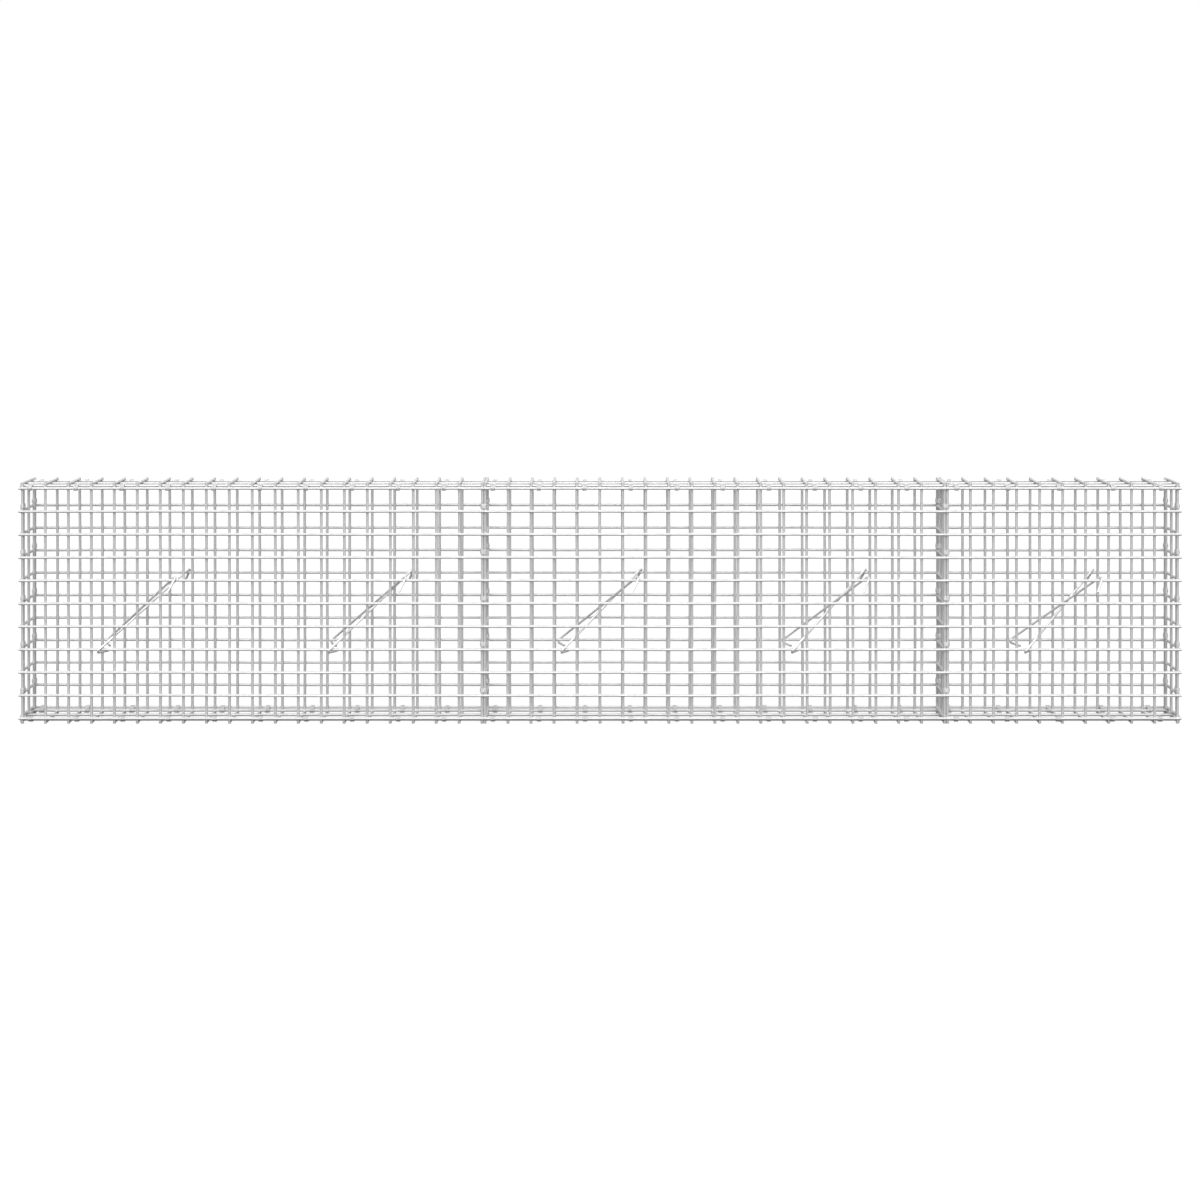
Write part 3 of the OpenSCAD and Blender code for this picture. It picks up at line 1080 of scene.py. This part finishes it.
@dataclass(frozen=True)
class Studio:
    """A plain pale floor, soft light from above and the camera.

    Attributes:
        floor: Width of the floor, in metres.
        floor_drop: Distance of the floor under the basket.
        floor_grey: How much of the light the floor gives back.
        sun: Strength of the light from above.
        sun_turn: Turns of the light from above from straight down, about X and Y, in degrees.
        fill: Strength of the light from the front.
        fill_turn: Turn of the light from the front from straight down, in degrees.
        softness: Width of both lights as the basket sees them, in degrees.
        sky: Strength of the light all round.
        glow: Brightness that the camera sees in the floor besides what it gives back.
        lens: Focal length of the camera, in millimetres.
        shift: Upward shift of the lens, in frame widths.
        distance: Distance of the camera in front of the middle of the wall.
        height: Height of the camera.
        tilt: Downward tilt of the camera, in degrees.
    """

    floor: float = 60.0
    floor_drop: float = 0.2 * MM
    floor_grey: float = 0.12
    sun: float = 0.95
    sun_turn: tuple[float, float] = (14.0, 4.0)
    fill: float = 1.9
    fill_turn: float = 62.0
    softness: float = 50.0
    sky: float = 0.58
    glow: float = 0.92
    lens: float = 56.35
    shift: float = -0.30
    distance: float = 4.130
    height: float = 1.0571
    tilt: float = 0.074

    def build(self) -> None:
        """Builds the floor, the lights, the world and the camera."""
        scene = bpy.context.scene
        scene.view_settings.view_transform = "Standard"
        self._floor()
        self._world(scene)
        self._lamp("soft_top", (0.0, -1.2, 3.0), self.sun_turn, self.sun)
        self._lamp("soft_front", (0.0, -3.0, 1.5), (self.fill_turn, 0.0), self.fill)
        data = bpy.data.cameras.new("camera")
        data.lens = self.lens
        data.shift_y = self.shift
        camera = bpy.data.objects.new("camera", data)
        camera.location = (0, -self.distance, self.height)
        camera.rotation_euler = (math.radians(90 - self.tilt), 0, 0)
        scene.collection.objects.link(camera)
        scene.camera = camera

    def _lamp(self, name: str, place: tuple[float, float, float], turn: tuple[float, float],
              strength: float) -> None:
        """Adds a broad sun.

        Args:
            name: Name of the lamp.
            place: Where it is drawn.
            turn: Its turns from straight down about X and Y, in degrees.
            strength: Its strength.
        """
        data = bpy.data.lights.new(name, "SUN")
        data.energy = strength
        data.angle = math.radians(self.softness)
        lamp = bpy.data.objects.new(name, data)
        lamp.location = place
        lamp.rotation_euler = (math.radians(turn[0]), math.radians(turn[1]), 0)
        bpy.context.scene.collection.objects.link(lamp)

    def _floor(self) -> None:
        """Lays the floor, which glows white for the camera alone and gives back little light."""
        half = self.floor / 2
        mesh = bpy.data.meshes.new("floor")
        mesh.from_pydata([(-half, -half, 0), (half, -half, 0), (half, half, 0), (-half, half, 0)],
                         [], [(0, 1, 2, 3)])
        floor = bpy.data.objects.new("floor", mesh)
        floor.location.z = WALL_LOW.z - self.floor_drop
        bpy.context.scene.collection.objects.link(floor)
        material = bpy.data.materials.new("studio_floor")
        material.use_nodes = True
        tree = material.node_tree
        tree.nodes.clear()
        diffuse = tree.nodes.new("ShaderNodeBsdfDiffuse")
        diffuse.inputs["Color"].default_value = (self.floor_grey,) * 3 + (1,)
        glow = tree.nodes.new("ShaderNodeEmission")
        total = tree.nodes.new("ShaderNodeAddShader")
        seen = tree.nodes.new("ShaderNodeLightPath").outputs["Is Camera Ray"]
        strength = tree.nodes.new("ShaderNodeMath")
        strength.operation = "MULTIPLY"
        strength.inputs[1].default_value = self.glow
        tree.links.new(seen, strength.inputs[0])
        tree.links.new(strength.outputs[0], glow.inputs["Strength"])
        tree.links.new(diffuse.outputs[0], total.inputs[0])
        tree.links.new(glow.outputs[0], total.inputs[1])
        out = tree.nodes.new("ShaderNodeOutputMaterial")
        tree.links.new(total.outputs[0], out.inputs["Surface"])
        mesh.materials.append(material)

    @staticmethod
    def _seen(tree: bpy.types.NodeTree) -> bpy.types.NodeSocket:
        """Returns 1 for rays that show the background, straight or in a reflection, else 0."""
        path = tree.nodes.new("ShaderNodeLightPath")
        first = tree.nodes.new("ShaderNodeMath")
        first.operation = "MAXIMUM"
        tree.links.new(path.outputs["Is Camera Ray"], first.inputs[0])
        tree.links.new(path.outputs["Is Glossy Ray"], first.inputs[1])
        second = tree.nodes.new("ShaderNodeMath")
        second.operation = "MAXIMUM"
        tree.links.new(first.outputs[0], second.inputs[0])
        tree.links.new(path.outputs["Is Transmission Ray"], second.inputs[1])
        return second.outputs[0]

    def _world(self, scene: bpy.types.Scene) -> None:
        """Surrounds the scene with white that lights it at the sky's strength.

        Args:
            scene: The scene.
        """
        world = bpy.data.worlds.new("studio")
        world.use_nodes = True
        tree = world.node_tree
        shade = tree.nodes["Background"]
        shade.inputs["Color"].default_value = (1, 1, 1, 1)
        strength = tree.nodes.new("ShaderNodeMapRange")
        strength.inputs["To Min"].default_value = self.sky
        strength.inputs["To Max"].default_value = 1.0
        tree.links.new(self._seen(tree), strength.inputs["Value"])
        tree.links.new(strength.outputs["Result"], shade.inputs["Strength"])
        scene.world = world


@dataclass
class Wall:
    """The whole basket: every panel, clip row and tie pair."""

    shop: Workshop = field(default_factory=Workshop)
    bays: int = 3
    tie_pairs: int = 5

    def panels(self) -> list[MeshPanel]:
        """The sixteen panels of mesh."""
        panels: list[MeshPanel] = []
        for bay in range(1, self.bays + 1):
            for face in Face:
                side = face.name.lower()
                panels.append(FacePanel(f"{side}_panel_{bay}", f"{side}_mesh_{bay}", self.shop, face=face))
            for level in Level:
                cover = level.name.lower()
                panels.append(CoverPanel(f"{cover}_panel_{bay}", f"{cover}_mesh_{bay}", self.shop, level=level))
        panels.append(CrossPanel("end_panel_left", "end_mesh_left", self.shop, level_side=-1))
        panels.append(CrossPanel("end_panel_right", "end_mesh_right", self.shop, level_side=1))
        panels.append(CrossPanel("diaphragm_1", "diaphragm_mesh_1", self.shop, level_side=1))
        panels.append(CrossPanel("diaphragm_2", "diaphragm_mesh_2", self.shop, level_side=-1))
        return panels

    def clip_rows(self) -> list[ClipRow]:
        """The twenty rows of clips, along the edges, up the corners and up the seams."""
        drop = MESH.weld_step + MESH.wire + MESH.clear
        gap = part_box("front_panel_2")[0].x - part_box("front_panel_1")[1].x + 2 * MESH.seam_overhang
        rows = []
        for face in Face:
            side = face.name.lower()
            for level, edge in ((Level.LID, "top"), (Level.BASE, "bottom")):
                turn = edge_turn(face, level, drop, MESH.lid_rise)
                for bay in range(1, self.bays + 1):
                    rows.append(ClipRow(f"{edge}_{side}_clips_{bay}", f"{edge}_{side}_coils_{bay}", self.shop,
                                        math.hypot(drop, MESH.lid_rise), 0.0, turn))
            for end in ("left", "right"):
                rows.append(ClipRow(f"corner_clips_{end}_{side}", f"corner_coils_{end}_{side}", self.shop,
                                    0.0, MESH.seam_step))
            for seam in range(1, self.bays):
                rows.append(ClipRow(f"seam_clips_{seam}_{side}", f"seam_coils_{seam}_{side}", self.shop,
                                    gap, MESH.seam_step))
        return rows

    def ties(self) -> list[TiePair]:
        """The pairs of crossed ties."""
        return [TiePair(f"tie_pair_{i}", f"crossed_ties_{i}", self.shop) for i in range(1, self.tie_pairs + 1)]


def triangles(piece: bpy.types.Object) -> int:
    """Number of triangles in a mesh object."""
    return sum(len(face.vertices) - 2 for face in piece.data.polygons)


def outside(piece: bpy.types.Object, node: str) -> float:
    """Furthest that a piece stands out of its node's box, in millimetres."""
    low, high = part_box(node)
    worst = 0.0
    for vertex in piece.data.vertices:
        for i in range(3):
            worst = max(worst, low[i] - vertex.co[i], vertex.co[i] - high[i])
    return worst / MM


def main() -> None:
    """Builds the studio and the wall, piece by piece."""
    logging.basicConfig(level=logging.INFO, format="%(message)s")
    Studio().build()
    wall = Wall()
    total = 0
    for part in [*wall.panels(), *wall.clip_rows(), *wall.ties()]:
        piece = part.build()
        count = triangles(piece)
        total += count
        log.info("%s: %d triangles, %.2f mm outside its node", piece.name, count, outside(piece, part.node))
    log.info("wall: %d triangles", total)


if __name__ == "__main__":
    main()
